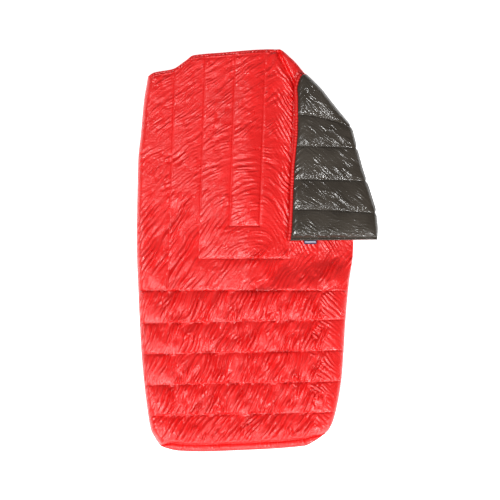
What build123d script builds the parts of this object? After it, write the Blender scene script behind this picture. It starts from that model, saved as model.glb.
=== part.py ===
from build123d import *
import os

os.makedirs("parts", exist_ok=True)

# A wide camp quilt, lying flat on its back: the foot is a closed tube, the left wing lies
# folded underneath and the right wing is turned up over the front as a flap, lining up.
# +X right, +Y towards the head, +Z up. The origin is the middle of the floor under it.

# ---- driving dimensions, millimetres ----
HALF_WIDTH = 580.0
HALF_LENGTH = 965.0
LOFT = 32.0  # one filled layer, shell and lining included
FABRIC = 1.2  # drawn thickness of the shell and of the lining
SLEEP_GAP = 8.0  # flattened sleeping space between front and back
LAYER_GAP = 1.0  # between the front and the flap that lies on it
WALL = 1.0  # baffle wall between two chambers
CLEAR = 0.3  # air between neighbouring soft pieces
HEM = 16.0  # hems and rolled edges
HEM_LOW = 4.0  # underside of a hem above its layer's underside
HEM_HIGH = 24.0
RIM = 19.0  # the flap's neck hem

FLOOR = 0.0
FRONT_LOW = 1.5  # the front's underside where no back lies under it
BACK_TOP = FLOOR + LOFT
FRONT_UNDER = BACK_TOP + SLEEP_GAP
FLAP_UNDER = FRONT_LOW + LOFT + LAYER_GAP
FLAP_TOP = FLAP_UNDER + LOFT
REACH = 1500.0  # cutting bodies reach past the quilt

# ---- seams ----
SIDE_PITCH = 143.0  # between the lengthwise seams of the front
CENTRE_X = -66.0  # middle of the lengthwise seams at y = 0
CENTRE_LEAN = 0.035  # they lean right towards the head
CROSS_PITCH = 147.5  # between the cross seams
CROSS_FIRST = -192.0  # uppermost full-width cross seam
CROSS_TILT = 0.02
CROSS_COUNT = 5
CENTRE_END = 118.0  # the centre tube ends here
RING_END = -39.0  # the inner ring ends here
WING_PITCH = 150.0  # chambers of the wings
WING_CHAMBERS = 7
FLAP_SEAMS = (650.0, 499.0, 343.0, 195.0)

# ---- where the back is open ----
SLIT_X = -60.0  # centre back
SLIT_END = (SLIT_X, -238.0)
SLIT_SIDE = (445.0, -150.0)  # right end of the opened hem
SLOPE_SIDE = 200.0  # over this width the front comes down to the floor
SLOPE_FOOT = 150.0

# ---- outline of the front, corner by corner ----
NECK_LEFT = (-526.0, 833.0)
NECK_SHOULDER = (-406.0, 866.0)
NECK_STEP = (-314.0, 932.0)
NECK_TOP = (98.0, HALF_LENGTH)
NECK_RIGHT = (166.0, 917.0)
FOLD_HEAD = (228.0, 847.0)
FOLD_KNEE = (449.0, 593.0)
FOLD_FOOT = (HALF_WIDTH, 50.0)
SIDE_RIGHT_TOP = (458.0, 41.0)
SIDE_RIGHT_MID = (420.0, -400.0)
FOOT_RIGHT = (343.0, -857.0)
FOOT_CORNER = (281.0, -910.0)
FOOT_PLEAT = (223.0, -938.0)
FOOT_LOW = (-276.0, -HALF_LENGTH)
FOOT_LEFT = (-457.0, -941.0)
SIDE_LEFT_FOOT = (-509.0, -866.0)
SIDE_LEFT_MID = (-HALF_WIDTH, 32.0)

# ---- flap edge, head to foot ----
FLAP_EDGE = [(227.5, 847.0), (175.0, 790.0), (179.0, 626.0), (160.0, 242.0), (146.0, 46.0)]
FLAP_CORNER = (572.0, 50.0)

LABEL = (60.0, 18.0, 1.2)
LABEL_X = 253.0


def seam_x(index, y):
    """x of a lengthwise seam; they are numbered 1 to 6 from the left."""
    return CENTRE_X + CENTRE_LEAN * y + (index - 3.5) * SIDE_PITCH


def cross_y(index, x):
    """y of a full-width cross seam; they are numbered 1 to 5 from the head."""
    return CROSS_FIRST - (index - 1) * CROSS_PITCH + CROSS_TILT * (x - CENTRE_X)


def block(corners, bottom, top):
    """An upright prism on a closed polygon."""
    with BuildPart() as prism:
        with BuildSketch(Plane.XY.offset(bottom)):
            with BuildLine():
                Polyline(*corners, close=True)
            make_face()
        extrude(amount=top - bottom)
    return prism.part


def strip(points, near, far, bottom, top):
    """A wall that follows a line of points, from near to far on its right-hand side (+x)."""
    left = [(x + near, y) for x, y in points]
    right = [(x + far, y) for x, y in reversed(points)]
    return block(left + right, bottom, top)


def common(*bodies):
    """The space that all the bodies share."""
    with BuildPart() as shared:
        add(bodies[0])
        for body in bodies[1:]:
            add(body, mode=Mode.INTERSECT)
    return shared.part


def without(body, *cutters):
    """The body with the cutters taken away."""
    with BuildPart() as rest:
        add(body)
        for cutter in cutters:
            add(cutter, mode=Mode.SUBTRACT)
    return rest.part


def joined(*bodies):
    """The bodies as one part."""
    with BuildPart() as whole:
        for body in bodies:
            add(body)
    return whole.part


def save(part, name):
    """Label a finished piece and write it."""
    part.label = name
    export_step(part, f"parts/{name}.step")


# ---- plan outlines ----
with BuildSketch() as outline:
    with BuildLine():
        Polyline(SIDE_LEFT_FOOT, FOOT_LEFT, FOOT_LOW, FOOT_PLEAT, FOOT_CORNER, FOOT_RIGHT)
        ThreePointArc(FOOT_RIGHT, SIDE_RIGHT_MID, SIDE_RIGHT_TOP)
        Polyline(SIDE_RIGHT_TOP, (472.0, 58.0), FOLD_FOOT, FOLD_KNEE, FOLD_HEAD)
        Polyline(FOLD_HEAD, NECK_RIGHT, NECK_TOP, NECK_STEP, NECK_SHOULDER, NECK_LEFT)
        ThreePointArc(NECK_LEFT, SIDE_LEFT_MID, SIDE_LEFT_FOOT)
    make_face()

with BuildSketch() as inner_outline:
    add(outline.sketch)
    offset(amount=-HEM, kind=Kind.INTERSECTION, mode=Mode.REPLACE)


def plate(sketch, bottom, top):
    """A flat-bottomed body on a plan outline."""
    with BuildPart() as body:
        with BuildSketch(Plane.XY.offset(bottom)):
            add(sketch)
        extrude(amount=top - bottom)
    return body.part


def below_front(height):
    """All the space under a surface that runs height above the front's underside."""
    high = FRONT_UNDER + height
    low = FRONT_LOW + height
    along = Vector(*SLIT_SIDE) - Vector(*SLIT_END)
    across = Vector(-along.Y, along.X, 0).normalized()
    with BuildPart() as space:
        with BuildSketch(Plane.XZ):
            with BuildLine():
                Polyline(
                    (-REACH, -REACH),
                    (-REACH, high),
                    (SLIT_X, high),
                    (SLIT_X + SLOPE_SIDE, low),
                    (REACH, low),
                    (REACH, -REACH),
                    close=True,
                )
            make_face()
        extrude(amount=REACH, both=True)
        with BuildSketch(Plane(origin=SLIT_END + (0,), x_dir=across, z_dir=along.normalized())):
            with BuildLine():
                Polyline(
                    (-REACH, -REACH),
                    (-REACH, high),
                    (0, high),
                    (SLOPE_FOOT, low),
                    (SLOPE_FOOT, -REACH),
                    close=True,
                )
            make_face()
        extrude(amount=REACH, both=True)
    return space.part


def front_layer(body, lower, upper):
    """The part of a tall body that lies from lower to upper within the front layer."""
    return without(common(body, below_front(upper)), below_front(lower))


# ---- the front ----
TALL = FRONT_UNDER + LOFT
tall_outline = plate(outline.sketch, FLOOR, TALL)
tall_inner = plate(inner_outline.sketch, FLOOR, TALL)
tall_edge = without(tall_outline, tall_inner)

save(front_layer(tall_inner, LOFT - FABRIC, LOFT), "front_shell")
save(front_layer(tall_inner, 0, FABRIC), "front_lining")
front_core = front_layer(tall_inner, FABRIC, LOFT - FABRIC)

HALF_WALL = WALL / 2
HALF_GAP = HALF_WALL + CLEAR


def u_block(left, right, end, spread):
    """The front between two lengthwise seams and above their cross end, grown by spread."""
    return block(
        [
            (seam_x(left, REACH) - spread, REACH),
            (seam_x(left, end) - spread, end - spread),
            (seam_x(right, end) + spread, end - spread),
            (seam_x(right, REACH) + spread, REACH),
        ],
        FLOOR,
        TALL,
    )


def upper_block(spread):
    """The front above the uppermost full-width seam, lowered by spread."""
    edge = [(x, cross_y(1, x) - spread) for x in (REACH, -REACH)]
    return block([(-REACH, REACH), (REACH, REACH)] + edge, FLOOR, TALL)


def side_block(index, spread):
    """The front left of a lengthwise seam, grown by spread."""
    top, low = REACH, -REACH
    edge = [(seam_x(index, top) + spread, top), (seam_x(index, low) + spread, low)]
    return block([(-REACH, low), (-REACH, top)] + edge, FLOOR, TALL)


centre = u_block(3, 4, CENTRE_END, -HALF_GAP)
centre_wall = without(u_block(3, 4, CENTRE_END, HALF_WALL), u_block(3, 4, CENTRE_END, -HALF_WALL))
ring = without(u_block(2, 5, RING_END, -HALF_GAP), u_block(3, 4, CENTRE_END, HALF_GAP))
ring_wall = without(u_block(2, 5, RING_END, HALF_WALL), u_block(2, 5, RING_END, -HALF_WALL))
upper = upper_block(-HALF_GAP)
outer = common(without(side_block(6, -HALF_GAP), side_block(1, HALF_GAP)), upper)
outer = without(outer, u_block(2, 5, RING_END, HALF_GAP))
left_wall = without(side_block(1, HALF_WALL), side_block(1, -HALF_WALL))
right_wall = without(side_block(6, HALF_WALL), side_block(6, -HALF_WALL))

save(common(centre, front_core), "front_centre_fill")
save(common(ring, front_core), "front_inner_ring_fill")
save(common(outer, front_core), "front_outer_ring_fill")
save(common(side_block(1, -HALF_GAP), upper, front_core), "front_left_fill")
save(common(without(upper, side_block(6, HALF_GAP)), front_core), "front_right_fill")
save(common(centre_wall, front_core), "centre_baffle")
save(common(ring_wall, front_core), "inner_ring_baffle")
save(common(left_wall, upper, front_core), "left_baffle")
save(common(right_wall, upper, front_core), "right_baffle")


# ---- foot chambers, front and back ----
def cross_band(index, head_shift, foot_shift):
    """Between two cross seams, each moved towards the foot by its shift."""
    head = [(x, cross_y(index, x) - head_shift) for x in (-REACH, REACH)]
    foot = [(x, cross_y(index + 1, x) - foot_shift) for x in (REACH, -REACH)]
    return block(head + foot, FLOOR, TALL)


def cross_wall(index):
    """The baffle wall under one cross seam."""
    head = [(x, cross_y(index, x) + HALF_WALL) for x in (-REACH, REACH)]
    foot = [(x, cross_y(index, x) - HALF_WALL) for x in (REACH, -REACH)]
    return block(head + foot, FLOOR, TALL)


back_region = block(
    [
        (-REACH, REACH),
        (SLIT_X - 30.0, REACH),
        SLIT_END,
        SLIT_SIDE,
        (REACH, SLIT_SIDE[1] + 60.0),
        (REACH, -REACH),
        (-REACH, -REACH),
    ],
    FLOOR,
    TALL,
)
wing_line = [(SLIT_X - 30.0, REACH), SLIT_END]
wing_hem_space = strip(wing_line, -HEM, CLEAR, FLOOR, TALL)
slit_drop = [(x, y - HEM) for x, y in (SLIT_SIDE, SLIT_END)]
slit_hem_space = block([SLIT_END, SLIT_SIDE] + slit_drop, FLOOR, TALL)
slit_hem_space = without(slit_hem_space, wing_hem_space)
back_solid = without(common(tall_inner, back_region), wing_hem_space, slit_hem_space)
back_core = common(back_solid, plate(outline.sketch, FLOOR + FABRIC, BACK_TOP - FABRIC))

save(common(back_solid, plate(outline.sketch, FLOOR, FLOOR + FABRIC)), "back_shell")
save(common(back_solid, plate(outline.sketch, BACK_TOP - FABRIC, BACK_TOP)), "back_lining")

for number in range(1, CROSS_COUNT + 1):
    band = cross_band(number, HALF_GAP, -HALF_GAP if number < CROSS_COUNT else REACH)
    save(common(band, front_core), f"front_foot_fill_{number}")
    save(common(band, back_core), f"back_foot_fill_{number}")

cross_walls = joined(*[cross_wall(number) for number in range(1, CROSS_COUNT + 1)])
save(common(cross_walls, front_core), "front_cross_baffles")
save(common(cross_walls, back_core), "back_cross_baffles")

# ---- left wing, folded underneath ----
wing_walls = []
for number in range(1, WING_CHAMBERS + 1):
    low_shift = -(number - 1) * WING_PITCH + HALF_GAP
    high_shift = -number * WING_PITCH - HALF_GAP if number < WING_CHAMBERS else -REACH
    low = [(x, cross_y(1, x) - low_shift + 2 * HALF_GAP) for x in (-REACH, REACH)]
    high = [(x, cross_y(1, x) - high_shift - 2 * HALF_GAP) for x in (REACH, -REACH)]
    save(common(block(low + high, FLOOR, TALL), back_core), f"left_wing_fill_{number}")
    if number < WING_CHAMBERS:
        shift = number * WING_PITCH
        under = [(x, cross_y(1, x) + shift - HALF_WALL) for x in (-REACH, REACH)]
        over = [(x, cross_y(1, x) + shift + HALF_WALL) for x in (REACH, -REACH)]
        wing_walls.append(block(under + over, FLOOR, TALL))
save(common(joined(*wing_walls), back_core), "left_wing_baffles")

# ---- rolled edges and hems of the body ----
EDGE_FOOT = -866.0  # side folds run from here
EDGE_HEAD = 820.0  # up to here on the left
EDGE_OPEN = SLIT_SIDE[1]  # and up to here on the right, where the tube opens


def box_between(left, right, low, high):
    """An upright box between two x values and two y values."""
    return block([(left, low), (left, high), (right, high), (right, low)], FLOOR, TALL)


left_zone = box_between(-REACH, -450.0, EDGE_FOOT, EDGE_HEAD)
right_zone = box_between(300.0, REACH, FOOT_RIGHT[1], EDGE_OPEN)
step_zone = box_between(300.0, REACH, EDGE_OPEN + WALL, 30.0)
neck_zone = box_between(-REACH, FOLD_HEAD[0], EDGE_HEAD + WALL, REACH)
foot_zone = box_between(-REACH, FOOT_RIGHT[0], -REACH, EDGE_FOOT - WALL)

save(common(tall_edge, left_zone), "left_side_fold")
save(common(tall_edge, right_zone), "right_side_fold")
save(front_layer(common(tall_edge, step_zone), 0, LOFT), "right_side_edge")
hem_level = plate(outline.sketch, HEM_LOW, HEM_HIGH)
save(common(wing_hem_space, tall_inner, hem_level, back_region), "left_wing_hem")
save(common(slit_hem_space, tall_inner, hem_level), "right_wing_hem")
save(common(tall_edge, neck_zone, hem_level, back_region), "left_wing_neck_hem")

tape_line = [(SLIT_X, SLIT_END[1] - HEM - WALL), (SLIT_X - 10.0, -REACH)]
seam_tape = strip(tape_line, -7.0, 7.0, BACK_TOP, BACK_TOP + 0.8)
save(common(seam_tape, tall_inner), "centre_back_seam")


def hem_with_elastic(space, core, hem_name, elastic_name):
    """A hem channel and the flat elastic that is sealed inside it."""
    save(without(space, core[0]), hem_name)
    save(common(space, core[1]), elastic_name)


def edge_ring(near, far):
    """A tall wall that follows the outline, from near to far inside it."""
    rings = []
    for inset in (near, far):
        with BuildSketch() as ring_plan:
            add(outline.sketch)
            offset(amount=-inset, kind=Kind.INTERSECTION, mode=Mode.REPLACE)
        rings.append(plate(ring_plan.sketch, FLOOR, TALL))
    return without(*rings)


tall_slot = edge_ring(5.0 - CLEAR, 11.0 + CLEAR)
tall_band = edge_ring(5.0, 11.0)

neck_space = front_layer(common(tall_edge, neck_zone), HEM_LOW, HEM_HIGH)
neck_core = (front_layer(tall_slot, 12.0, 15.0), front_layer(tall_band, 12.0 + CLEAR, 15.0 - CLEAR))
hem_with_elastic(neck_space, neck_core, "neck_hem", "neck_elastic")
foot_space = common(tall_edge, foot_zone, plate(outline.sketch, 22.0, 50.0))
foot_slot = common(tall_slot, plate(outline.sketch, 34.0, 38.0))
foot_band = common(tall_band, plate(outline.sketch, 34.0 + CLEAR, 38.0 - CLEAR))
hem_with_elastic(foot_space, (foot_slot, foot_band), "foot_hem", "foot_elastic")

# ---- the flap, lining up, left of the straight line from the fold's head to its foot ----
hinge_head = (FOLD_HEAD[0] - 0.5, FOLD_HEAD[1])
hinge_foot = (FLAP_CORNER[0] - 0.5, FLAP_CORNER[1])
flap_tall = block([hinge_head] + FLAP_EDGE[1:] + [hinge_foot], FLAP_UNDER, FLAP_TOP)
rim_space = strip(FLAP_EDGE, 0.0, RIM, FLAP_UNDER, FLAP_TOP)
rim = common(flap_tall, rim_space)
side_hem_space = box_between(-REACH, REACH, -REACH, FLAP_EDGE[-1][1] + HEM)
side_hem = without(common(flap_tall, side_hem_space), rim_space)
flap_body = without(flap_tall, strip(FLAP_EDGE, -1.0, RIM + CLEAR, FLAP_UNDER, FLAP_TOP), side_hem_space)
flap_core = common(flap_body, plate(outline.sketch, FLAP_UNDER + FABRIC, FLAP_TOP - FABRIC))

save(common(flap_body, plate(outline.sketch, FLAP_UNDER, FLAP_UNDER + FABRIC)), "flap_shell")
save(common(flap_body, plate(outline.sketch, FLAP_TOP - FABRIC, FLAP_TOP)), "flap_lining")


def flap_levels(spread):
    """Pairs of y limits of the flap's chambers, head first."""
    tops = (REACH,) + FLAP_SEAMS
    lows = FLAP_SEAMS + (-REACH,)
    return [(top - spread, low + spread) for top, low in zip(tops, lows)]


for number, (top, low) in enumerate(flap_levels(HALF_GAP), start=1):
    save(common(flap_core, box_between(-REACH, REACH, low, top)), f"flap_fill_{number}")
flap_walls = [box_between(-REACH, REACH, y - HALF_WALL, y + HALF_WALL) for y in FLAP_SEAMS]
save(common(flap_core, joined(*flap_walls)), "flap_baffles")

rim_middle = FLAP_UNDER + HEM_HIGH / 2
rim_slot = strip(FLAP_EDGE, 6.0, 13.0, rim_middle - 1.5, rim_middle + 1.5)
rim_band = strip(FLAP_EDGE, 6.0 + CLEAR, 13.0 - CLEAR, rim_middle - 1.5 + CLEAR, rim_middle + 1.5 - CLEAR)
flap_hem_level = plate(outline.sketch, FLAP_UNDER, FLAP_UNDER + HEM_HIGH)
rim_low = common(rim, flap_hem_level)
hem_with_elastic(rim_low, (rim_slot, rim_band), "flap_neck_hem", "flap_neck_elastic")
save(common(side_hem, flap_hem_level), "flap_side_hem")

with BuildPart() as flap_label:
    with BuildSketch(Plane.XY.offset(FLAP_UNDER + 0.2)):
        with Locations((LABEL_X, FLAP_EDGE[-1][1] - CLEAR - LABEL[1] / 2)):
            Rectangle(LABEL[0], LABEL[1])
    extrude(amount=LABEL[2])
save(flap_label.part, "flap_label")

# ---- the rounded fold right of that line; it stays with the body ----
fold_line = [(FOLD_HEAD[0] + 0.5, FOLD_HEAD[1]), (FLAP_CORNER[0] + 0.5, FLAP_CORNER[1])]
fold_side = block(fold_line + [(REACH, FLAP_CORNER[1]), (REACH, FOLD_HEAD[1])], FLOOR, TALL)
fold_inner = common(fold_side, tall_inner)
save(common(fold_inner, plate(outline.sketch, FLAP_UNDER, FLAP_UNDER + FABRIC)), "fold_shell")
save(common(fold_inner, plate(outline.sketch, FLAP_TOP - FABRIC, FLAP_TOP)), "fold_lining")
fold_core = common(fold_inner, plate(outline.sketch, FLAP_UNDER + FABRIC, FLAP_TOP - FABRIC))
fold_bands = joined(*[box_between(-REACH, REACH, low, top) for top, low in flap_levels(HALF_GAP)])
save(common(fold_core, fold_bands), "fold_fills")
save(common(tall_edge, fold_side, plate(outline.sketch, FLOOR, FLAP_TOP)), "fold_edge")
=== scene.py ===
import bpy
import numpy as np
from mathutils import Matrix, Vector


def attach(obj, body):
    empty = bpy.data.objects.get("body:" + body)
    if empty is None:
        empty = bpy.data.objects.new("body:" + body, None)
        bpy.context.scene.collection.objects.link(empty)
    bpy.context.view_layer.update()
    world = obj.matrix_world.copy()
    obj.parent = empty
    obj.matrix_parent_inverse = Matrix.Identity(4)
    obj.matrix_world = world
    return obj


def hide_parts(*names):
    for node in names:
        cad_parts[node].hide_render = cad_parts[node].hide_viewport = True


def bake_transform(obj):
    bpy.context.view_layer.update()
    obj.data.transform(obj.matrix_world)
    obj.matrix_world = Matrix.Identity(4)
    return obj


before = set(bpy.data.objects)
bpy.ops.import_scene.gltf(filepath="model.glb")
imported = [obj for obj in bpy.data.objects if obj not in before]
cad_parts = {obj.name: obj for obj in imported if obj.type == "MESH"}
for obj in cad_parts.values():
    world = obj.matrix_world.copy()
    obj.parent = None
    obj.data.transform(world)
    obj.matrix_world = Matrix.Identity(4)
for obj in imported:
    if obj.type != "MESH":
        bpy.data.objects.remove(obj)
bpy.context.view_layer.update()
MM = 0.001  # the quilt is worked out in millimetres and written in metres

# ---- camera: straight above, far away, the whole quilt in view ----
VIEW_WIDTH = 2400.0
LENS = 200.0
SENSOR = 36.0
CAMERA_X = -36.0
CAMERA_Y = 2.0


def make_camera():
    data = bpy.data.cameras.new("camera")
    data.lens = LENS
    data.sensor_width = SENSOR
    data.clip_end = 100.0
    camera = bpy.data.objects.new("camera", data)
    distance = VIEW_WIDTH * LENS / SENSOR
    camera.location = (CAMERA_X * MM, CAMERA_Y * MM, distance * MM)
    bpy.context.scene.collection.objects.link(camera)
    bpy.context.scene.camera = camera


make_camera()

# ---- sizes, as in the CAD model ----
HALF_LENGTH = 965.0
LOFT = 32.0
SLEEP_GAP = 8.0
FRONT_HIGH = LOFT + SLEEP_GAP
FRONT_LOW = 1.5
HEM = 16.0
FLAP_UNDER = FRONT_LOW + LOFT + 1.0

SIDE_PITCH = 143.0
CENTRE_X = -66.0
CENTRE_LEAN = 0.035
CROSS_PITCH = 147.5
CROSS_FIRST = -192.0
CROSS_TILT = 0.02
CENTRE_END = 118.0
RING_END = -39.0
FOOT_SEAM_WIDTH = 36.0

SLIT_X = -60.0
SLIT_END = (-60.0, -238.0)
SLIT_SIDE = (445.0, -150.0)
SLOPE_SIDE = 200.0
SLOPE_FOOT = 150.0

# outlines, each from foot to head or from left to right
LEFT_EDGE = [(-905, -487), (-866, -509), (-804, -522), (-650, -542), (-492, -557), (-190, -572), (50, -580),
             (262, -577), (434, -573), (559, -560), (718, -545), (833, -526)]
RIGHT_EDGE = [(-880, 322), (-857, 343), (-818, 362), (-756, 379), (-607, 404), (-482, 413), (-324, 423),
              (-151, 439), (-22, 457), (36, 459)]
FOLD_EDGE = [(50, 571), (98, 576), (194, 565), (290, 535), (386, 503), (482, 477), (593, 449), (674, 382),
             (722, 344), (770, 308), (823, 256), (847, 228)]
NECK_EDGE = [(-526, 833), (-492, 852), (-406, 868), (-348, 905), (-306, 934), (-180, 946), (98, 965),
             (166, 918), (228, 847)]
FOOT_EDGE = [(-487, -905), (-457, -941), (-367, -962), (-276, -965), (-84, -959), (223, -938), (281, -910),
             (322, -880)]


def through(points, at):
    """A smooth line through points, with no overshoot between them."""
    x, y = np.array(points, float).T
    step = np.diff(x)
    slope = np.diff(y) / step
    tangent = np.empty_like(y)
    tangent[0], tangent[-1] = slope[0], slope[-1]
    same = slope[:-1] * slope[1:] > 0
    total = np.where(same, slope[:-1] + slope[1:], 1.0)
    tangent[1:-1] = np.where(same, 2 * slope[:-1] * slope[1:] / total, 0.0)
    at = np.clip(at, x[0], x[-1])
    i = np.clip(np.searchsorted(x, at) - 1, 0, len(x) - 2)
    t = (at - x[i]) / step[i]
    low = (1 + 2 * t) * (1 - t) ** 2 * y[i] + t * (1 - t) ** 2 * step[i] * tangent[i]
    high = t * t * (3 - 2 * t) * y[i + 1] + t * t * (t - 1) * step[i] * tangent[i + 1]
    return low + high


def smooth(low, high, value):
    t = np.clip((value - low) / (high - low), 0, 1)
    return t * t * (3 - 2 * t)


def seam_x(index, y):
    return CENTRE_X + CENTRE_LEAN * y + (index - 3.5) * SIDE_PITCH


def cross_y(index, x):
    tilt = CROSS_TILT if index > 1 else 0.0
    return CROSS_FIRST - (index - 1) * CROSS_PITCH + tilt * (x - CENTRE_X)


# ---- the grid of the front: its columns and rows follow the seams ----
CELL = 3.6


def fold_edge(y):
    """The fold's outer edge: straight runs, a little eased where they meet."""
    levels, edge = np.array(FOLD_EDGE, float).T
    return sum(np.interp(y + shift, levels, edge) for shift in (-12.0, -4.0, 4.0, 12.0)) / 4


def right_edge(y):
    tube = through(RIGHT_EDGE, y)
    fold = fold_edge(y) - 30.0 * smooth(845, 780, y)
    return tube + (fold - tube) * smooth(56.0, 76.0, y)


def grid_lines(counts):
    """Positions along one direction of a grid, as (interval, share) for each line."""
    at = []
    for interval, count in enumerate(counts):
        at += [interval + k / count for k in range(count)]
    return np.array(at + [len(counts)], float)


def foot_hem_width(x):
    return 4.0 + FOOT_SEAM_WIDTH * smooth(-480, -400, x) * smooth(330, 240, x)


def front_grid(cell):
    """x and y of each grid point, and its place between seams (columns 0 to 7, rows 0 to 9)."""
    columns = [round(n / cell) for n in (155, 143, 143, 143, 143, 143, 170)]
    rows = [round(n / cell) for n in (35, 148, 148, 148, 148, 148, 153, 157, 790, 20)]
    a = grid_lines(columns)[:, None]
    b = grid_lines(rows)[None, :]
    x = np.zeros((a.shape[0], b.shape[1]))
    y = np.zeros_like(x)
    for _ in range(6):
        lines_x = [through(LEFT_EDGE, y)] + [seam_x(k, y) for k in range(1, 7)] + [right_edge(y)]
        free = smooth(CROSS_FIRST + 60.0, CROSS_FIRST - 200.0, y)
        for k in range(1, 7):
            even = lines_x[0] + (lines_x[7] - lines_x[0]) * (k + 0.15) / 7.3
            lines_x[k] = lines_x[k] + (even - lines_x[k]) * free
        top = lines_x[7] - 8.0
        for k in range(1, 7):
            lines_x[k] = np.minimum(lines_x[k], top - (6 - k) * 14.0)
        x = blend_lines(lines_x, a)
        foot = through(FOOT_EDGE, x)
        neck = through(NECK_EDGE, x)
        lines_y = [foot, foot + foot_hem_width(x)]
        lines_y += [np.maximum(cross_y(k, x), foot + 8.0 * (7 - k)) for k in (5, 4, 3, 2, 1)]
        lines_y += [np.full_like(x, RING_END), np.full_like(x, CENTRE_END), neck - HEM, neck]
        y = blend_lines(lines_y, b)
    return x, y, a + 0 * x, b + 0 * x


def blend_lines(lines, at):
    """Between neighbouring lines, by share."""
    out = np.zeros_like(lines[0] + at)
    for k in range(len(lines) - 1):
        share = at - k
        here = (share >= 0) & (share <= 1)
        value = lines[k] + (lines[k + 1] - lines[k]) * share
        out = np.where(here, value, out)
    return out


# ---- heights ----
def under_front(x, y):
    """Height of the front's underside: it comes down to the floor where no back lies under it."""
    along = np.subtract(SLIT_SIDE, SLIT_END)
    along = along / np.hypot(*along)
    past = -(x - SLIT_END[0]) * along[1] + (y - SLIT_END[1]) * along[0]
    drop_side = smooth(0.0, SLOPE_SIDE, x - SLIT_X)
    drop_foot = smooth(0.0, SLOPE_FOOT, past)
    return FRONT_HIGH - (FRONT_HIGH - FRONT_LOW) * np.minimum(drop_side, drop_foot)


def to_segment(x, y, x0, y0, x1, y1):
    dx, dy = x1 - x0, y1 - y0
    t = np.clip(((x - x0) * dx + (y - y0) * dy) / (dx * dx + dy * dy), 0, 1)
    return np.hypot(x - x0 - t * dx, y - y0 - t * dy)


def seam_lines():
    """All stitched seams of the front, as end points."""
    ends = {1: CROSS_FIRST, 2: RING_END, 3: CENTRE_END, 4: CENTRE_END, 5: RING_END, 6: CROSS_FIRST}
    lines = [(seam_x(k, end), end, seam_x(k, 960.0), 960.0) for k, end in ends.items()]
    lines.append((seam_x(3, CENTRE_END), CENTRE_END, seam_x(4, CENTRE_END), CENTRE_END))
    lines.append((seam_x(2, RING_END), RING_END, seam_x(5, RING_END), RING_END))
    for k in range(1, 6):
        lines.append((-600.0, cross_y(k, -600.0), 600.0, cross_y(k, 600.0)))
    return lines


def seam_distance(x, y):
    near = np.full_like(x, 1e3)
    for line in seam_lines():
        near = np.minimum(near, to_segment(x, y, *line))
    return near


# ---- wrinkles: random folds along given lines ----
FIELD_CELL = 4.0
FIELD_SIZE = 512
FOLD_REACH = {"fold": 4.6, "long": 8.0}  # how long folds of each kind are, as a share of their pitch
_fields = {}


def field(kind, pitch, seed):
    """A random field of unit spread: folds along u about pitch apart in v, or slow blotches."""
    key = (kind, pitch, seed)
    if key not in _fields:
        noise = np.random.default_rng(seed).standard_normal((FIELD_SIZE, FIELD_SIZE))
        f = np.fft.fftfreq(FIELD_SIZE, FIELD_CELL)
        fu, fv = np.meshgrid(f, f, indexing="ij")
        if kind in FOLD_REACH:
            across = np.log(np.abs(fv) * pitch + 1e-9)
            keep = np.exp(-0.5 * (across / 0.4) ** 2 - 0.5 * (fu * pitch * FOLD_REACH[kind]) ** 2)
        else:
            keep = np.exp(-0.5 * (np.log(np.hypot(fu, fv) * pitch + 1e-9) / 0.35) ** 2)
        made = np.fft.ifft2(np.fft.fft2(noise) * keep).real
        _fields[key] = made / made.std()
    return _fields[key]


def sample(values, u, v):
    """The field at points, between its cells."""
    u = (u / FIELD_CELL) % FIELD_SIZE
    v = (v / FIELD_CELL) % FIELD_SIZE
    i, j = np.floor(u).astype(int) % FIELD_SIZE, np.floor(v).astype(int) % FIELD_SIZE
    s, t = u - np.floor(u), v - np.floor(v)
    i1, j1 = (i + 1) % FIELD_SIZE, (j + 1) % FIELD_SIZE
    low = values[i, j] * (1 - s) + values[i1, j] * s
    high = values[i, j1] * (1 - s) + values[i1, j1] * s
    return low * (1 - t) + high * t


def blotches(x, y, pitch, seed):
    """A slow random field with no direction."""
    return sample(field("blotch", pitch, seed), x, y)


def folds(u, v, pitch, seed, kind="fold"):
    """Puffed folds with sharp valleys between them, along u and about pitch apart."""
    wave = sample(field(kind, 2 * pitch, seed), u, v)
    return np.sqrt(wave ** 2 + 0.01) - 0.8


def lines_at(x, y, angle):
    """How far along and across lines that run at an angle."""
    turn = np.radians(angle)
    return x * np.cos(turn) + y * np.sin(turn), y * np.cos(turn) - x * np.sin(turn)


def creases(x, y, count, angle, length, seed):
    """Straight sharp ridges scattered at random, most of them close to one angle."""
    chance = np.random.default_rng(seed)
    total = np.zeros_like(x)
    for _ in range(count):
        middle_x, middle_y = chance.uniform(x.min(), x.max()), chance.uniform(y.min(), y.max())
        u, v = lines_at(x - middle_x, y - middle_y, chance.normal(angle, 7.0))
        taper = np.clip(1 - (2 * u / (length * chance.uniform(0.5, 1.0))) ** 2, 0, 1)
        total = np.maximum(total, chance.uniform(0.4, 1.0) * taper * np.exp(-np.abs(v) / 2.6))
    return total


def wander(x, y, amount, seed):
    """Points moved a little, so that straight lines come out uneven."""
    return x + amount * blotches(x, y, 190.0, seed), y + amount * blotches(x, y, 190.0, seed + 1)


ARCH = [(-600, 43), (-330, 40), (-150, 24), (-30, 4), (40, -14), (110, -44), (170, -60), (600, -60)]


def arch_lines(x, y):
    """How far along and across lines that arch over the middle of the front."""
    grid = np.arange(-620.0, 621.0, 4.0)
    lean = np.radians(through(ARCH, grid))
    height = np.cumsum(np.tan(lean)) * 4.0
    run = np.cumsum(1 / np.cos(lean)) * 4.0
    tilt = np.cos(np.interp(x, grid, lean))
    return np.interp(x, grid, run) + 0.4 * y, (y - np.interp(x, grid, height)) * tilt


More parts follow.
